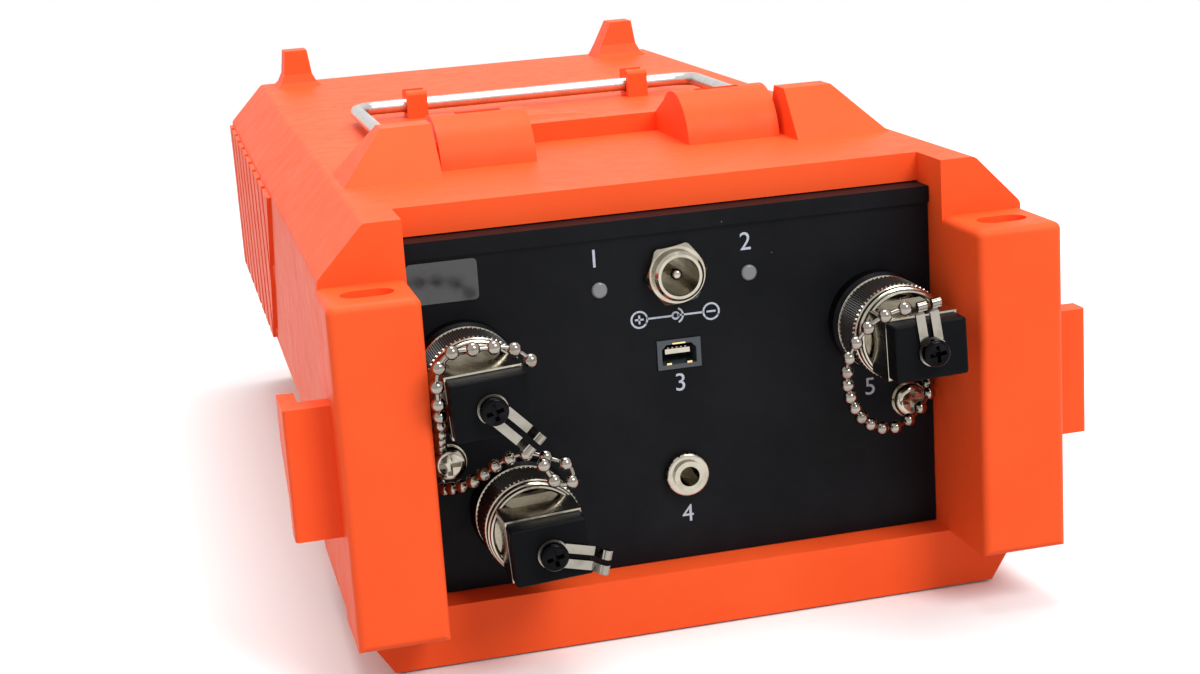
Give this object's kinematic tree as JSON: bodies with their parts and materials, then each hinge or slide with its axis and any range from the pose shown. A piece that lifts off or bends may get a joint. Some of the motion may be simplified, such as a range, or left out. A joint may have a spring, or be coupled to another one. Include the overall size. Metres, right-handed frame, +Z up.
{
  "type": "optical time domain reflectometer",
  "caption": "Hand-held fibre test instrument in a two-shell orange housing with bail stand, capped optical ports on bead chains, sockets, screen and keypad.",
  "frame": {"origin": "centre of the footprint without the chains, on the plane that the screen side rests on", "axes": "+Z up out of the back with the bail stand, +Y from the connector panel to the rear end, +X to the right when facing the panel"},
  "size_m": [0.144, 0.2412, 0.0898],
  "materials": {
    "housing": "fine matte orange moulding",
    "panel_black": "black, fine texture",
    "nickel": "warm nickel plate",
    "wire_steel": "drawn bright wire",
    "screw_steel": "zinc plated",
    "screw_black": "black oxide",
    "black_metal": "black anodised",
    "black_plastic": "moulded black",
    "light_lens": "milky grey",
    "overlay": "satin black film",
    "screen_glass": "clear",
    "key_rubber": "satin rubber",
    "power_key": "satin rubber",
    "circuit_board": "solder mask",
    "inner_metal": "plain sheet",
    "battery_wrap": "shrink wrap"
  },
  "bodies": {
    "housing": {"back_shell": "housing", "front_shell": "housing", "case_screws": "screw_steel", "connector_panel": "panel_black", "usb_socket": "black_plastic", "usb_contacts": "nickel", "dc_jack": "nickel", "dc_jack_pin": "nickel", "dc_jack_nut": "nickel", "serial_jack": "nickel", "serial_jack_nut": "nickel", "charge_light": "light_lens", "power_light": "light_lens", "chain_screws": "nickel", "chain_eyelets": "nickel", "chain_right": "nickel", "chain_free": "nickel", "chain_loop": "nickel", "front_overlay": "overlay", "display_lens": "screen_glass", "lcd_module": "inner_metal", "keypad_mat": "key_rubber", "main_board": "circuit_board", "optical_module": "inner_metal", "battery_pack": "battery_wrap", "port_base_right": "black_metal", "adapter_head_right": "nickel", "port_base_upper_left": "black_metal", "adapter_head_upper_left": "nickel", "port_base_lower_left": "black_metal", "adapter_head_lower_left": "nickel"},
    "bail": {"bail_stand": "wire_steel"},
    "ring_right": {"coupling_ring_right": "nickel"},
    "cap_right": {"dust_cap_right": "black_plastic", "cap_screw_right": "screw_black"},
    "link_right": {"cap_link_right": "nickel"},
    "ring_upper_left": {"coupling_ring_upper_left": "nickel"},
    "cap_upper_left": {"dust_cap_upper_left": "black_plastic", "cap_screw_upper_left": "screw_black"},
    "link_upper_left": {"cap_link_upper_left": "nickel"},
    "ring_lower_left": {"coupling_ring_lower_left": "nickel"},
    "cap_lower_left": {"dust_cap_lower_left": "black_plastic", "cap_screw_lower_left": "screw_black"},
    "link_lower_left": {"cap_link_lower_left": "nickel"},
    "soft_key_1_body": {"soft_key_1": "key_rubber"},
    "soft_key_2_body": {"soft_key_2": "key_rubber"},
    "soft_key_3_body": {"soft_key_3": "key_rubber"},
    "soft_key_4_body": {"soft_key_4": "key_rubber"},
    "nav_key_up_body": {"nav_key_up": "key_rubber"},
    "nav_key_down_body": {"nav_key_down": "key_rubber"},
    "nav_key_left_body": {"nav_key_left": "key_rubber"},
    "nav_key_right_body": {"nav_key_right": "key_rubber"},
    "enter_key_body": {"enter_key": "key_rubber"},
    "escape_key_body": {"escape_key": "key_rubber"},
    "test_key_body": {"test_key": "key_rubber"},
    "power_key_body": {"power_key": "power_key"}
  },
  "joints": [
    {"name": "bail_hinge", "type": "hinge", "parent": "housing", "child": "bail", "pos_m": [0, -0.0358, 0.0831], "axis": [1, 0, 0], "range_deg": [0, 100]},
    {"name": "ring_turn_right", "type": "hinge", "parent": "housing", "child": "ring_right", "pos_m": [0.0375, -0.10054, 0.0515], "axis": [0, 1, 0], "continuous": true},
    {"name": "cap_slide_right", "type": "slide", "parent": "housing", "child": "cap_right", "axis": [0, -1, 0], "range_m": [0, 0.012]},
    {"name": "link_swivel_right", "type": "hinge", "parent": "cap_right", "child": "link_right", "pos_m": [0.0375, -0.11831, 0.0515], "axis": [0, 1, 0], "range_deg": [0, 60]},
    {"name": "ring_turn_upper_left", "type": "hinge", "parent": "housing", "child": "ring_upper_left", "pos_m": [-0.0391, -0.10054, 0.0515], "axis": [0, 1, 0], "continuous": true},
    {"name": "cap_slide_upper_left", "type": "slide", "parent": "housing", "child": "cap_upper_left", "axis": [0, -1, 0], "range_m": [0, 0.012]},
    {"name": "link_swivel_upper_left", "type": "hinge", "parent": "cap_upper_left", "child": "link_upper_left", "pos_m": [-0.0391, -0.11831, 0.0515], "axis": [0, -1, 0], "range_deg": [0, 50]},
    {"name": "ring_turn_lower_left", "type": "hinge", "parent": "housing", "child": "ring_lower_left", "pos_m": [-0.031, -0.10054, 0.0253], "axis": [0, 1, 0], "continuous": true},
    {"name": "cap_slide_lower_left", "type": "slide", "parent": "housing", "child": "cap_lower_left", "axis": [0, -1, 0], "range_m": [0, 0.012]},
    {"name": "link_swivel_lower_left", "type": "hinge", "parent": "cap_lower_left", "child": "link_lower_left", "pos_m": [-0.031, -0.11831, 0.0253], "axis": [0, -1, 0], "range_deg": [-45, 40]},
    {"name": "soft_key_1_press", "type": "slide", "parent": "housing", "child": "soft_key_1_body", "axis": [0, 0, 1], "range_m": [0, 0.0008], "stiffness_N_per_m": 900},
    {"name": "soft_key_2_press", "type": "slide", "parent": "housing", "child": "soft_key_2_body", "axis": [0, 0, 1], "range_m": [0, 0.0008], "stiffness_N_per_m": 900},
    {"name": "soft_key_3_press", "type": "slide", "parent": "housing", "child": "soft_key_3_body", "axis": [0, 0, 1], "range_m": [0, 0.0008], "stiffness_N_per_m": 900},
    {"name": "soft_key_4_press", "type": "slide", "parent": "housing", "child": "soft_key_4_body", "axis": [0, 0, 1], "range_m": [0, 0.0008], "stiffness_N_per_m": 900},
    {"name": "nav_key_up_press", "type": "slide", "parent": "housing", "child": "nav_key_up_body", "axis": [0, 0, 1], "range_m": [0, 0.0008], "stiffness_N_per_m": 900},
    {"name": "nav_key_down_press", "type": "slide", "parent": "housing", "child": "nav_key_down_body", "axis": [0, 0, 1], "range_m": [0, 0.0008], "stiffness_N_per_m": 900},
    {"name": "nav_key_left_press", "type": "slide", "parent": "housing", "child": "nav_key_left_body", "axis": [0, 0, 1], "range_m": [0, 0.0008], "stiffness_N_per_m": 900},
    {"name": "nav_key_right_press", "type": "slide", "parent": "housing", "child": "nav_key_right_body", "axis": [0, 0, 1], "range_m": [0, 0.0008], "stiffness_N_per_m": 900},
    {"name": "enter_key_press", "type": "slide", "parent": "housing", "child": "enter_key_body", "axis": [0, 0, 1], "range_m": [0, 0.0008], "stiffness_N_per_m": 900},
    {"name": "escape_key_press", "type": "slide", "parent": "housing", "child": "escape_key_body", "axis": [0, 0, 1], "range_m": [0, 0.0008], "stiffness_N_per_m": 900},
    {"name": "test_key_press", "type": "slide", "parent": "housing", "child": "test_key_body", "axis": [0, 0, 1], "range_m": [0, 0.0008], "stiffness_N_per_m": 900},
    {"name": "power_key_press", "type": "slide", "parent": "housing", "child": "power_key_body", "axis": [0, 0, 1], "range_m": [0, 0.0008], "stiffness_N_per_m": 900}
  ]
}
